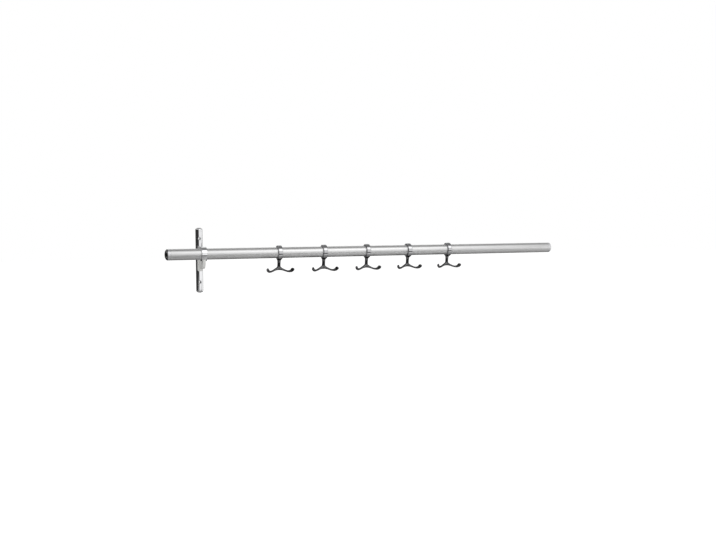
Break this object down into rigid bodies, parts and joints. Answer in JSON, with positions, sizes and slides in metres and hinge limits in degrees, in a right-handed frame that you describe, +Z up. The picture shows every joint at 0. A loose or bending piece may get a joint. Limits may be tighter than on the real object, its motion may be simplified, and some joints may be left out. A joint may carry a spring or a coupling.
{
  "type": "wall coat rack",
  "caption": "Wall coat rack: a satin tube rail held by a T-shaped wall bracket, with chrome double hooks that slide along the rail and swing round it.",
  "frame": {"origin": "midway between the two wall holes of the bracket, on the wall", "axes": "+X along the rail to its free end, +Y into the wall, +Z up"},
  "size_m": [1, 0.0815, 0.15],
  "materials": {
    "rail_satin": "satin, fine lines along the tube",
    "cap_chrome": "polished",
    "post_chrome": "polished",
    "ring_chrome": "polished",
    "hook_chrome": "polished dark chrome on a casting",
    "arm_satin": "pale satin, faint upright grain",
    "screw_steel": "dark zinc",
    "liner_nylon": "dark grey nylon"
  },
  "bodies": {
    "rack": {"bracket_post": "post_chrome", "post_cap_top": "post_chrome", "post_cap_bottom": "post_chrome", "bracket_arm": "arm_satin", "arm_screws": "screw_steel", "bracket_ring": "ring_chrome", "ring_grub_screw": "screw_steel", "rail_tube": "rail_satin", "rail_cap_left": "cap_chrome", "rail_cap_right": "cap_chrome"},
    "slider_1": {"hook_liner_1": "liner_nylon"},
    "hook_1": {"hook_1": "hook_chrome"},
    "slider_2": {"hook_liner_2": "liner_nylon"},
    "hook_2": {"hook_2": "hook_chrome"},
    "slider_3": {"hook_liner_3": "liner_nylon"},
    "hook_3": {"hook_3": "hook_chrome"},
    "slider_4": {"hook_liner_4": "liner_nylon"},
    "hook_4": {"hook_4": "hook_chrome"},
    "slider_5": {"hook_liner_5": "liner_nylon"},
    "hook_5": {"hook_5": "hook_chrome"}
  },
  "joints": [
    {"name": "hook_1_slide", "type": "slide", "parent": "rack", "child": "slider_1", "axis": [1, 0, 0], "range_m": [-0.125, 0.018]},
    {"name": "hook_1_swing", "type": "hinge", "parent": "slider_1", "child": "hook_1", "pos_m": [0.174, -0.065, 0.017], "axis": [1, 0, 0], "continuous": true},
    {"name": "hook_2_slide", "type": "slide", "parent": "rack", "child": "slider_2", "axis": [1, 0, 0], "range_m": [-0.018, 0.018]},
    {"name": "hook_2_swing", "type": "hinge", "parent": "slider_2", "child": "hook_2", "pos_m": [0.283, -0.065, 0.017], "axis": [1, 0, 0], "continuous": true},
    {"name": "hook_3_slide", "type": "slide", "parent": "rack", "child": "slider_3", "axis": [1, 0, 0], "range_m": [-0.018, 0.018]},
    {"name": "hook_3_swing", "type": "hinge", "parent": "slider_3", "child": "hook_3", "pos_m": [0.392, -0.065, 0.017], "axis": [1, 0, 0], "continuous": true},
    {"name": "hook_4_slide", "type": "slide", "parent": "rack", "child": "slider_4", "axis": [1, 0, 0], "range_m": [-0.018, 0.018]},
    {"name": "hook_4_swing", "type": "hinge", "parent": "slider_4", "child": "hook_4", "pos_m": [0.501, -0.065, 0.017], "axis": [1, 0, 0], "continuous": true},
    {"name": "hook_5_slide", "type": "slide", "parent": "rack", "child": "slider_5", "axis": [1, 0, 0], "range_m": [-0.018, 0.2]},
    {"name": "hook_5_swing", "type": "hinge", "parent": "slider_5", "child": "hook_5", "pos_m": [0.61, -0.065, 0.017], "axis": [1, 0, 0], "continuous": true}
  ]
}
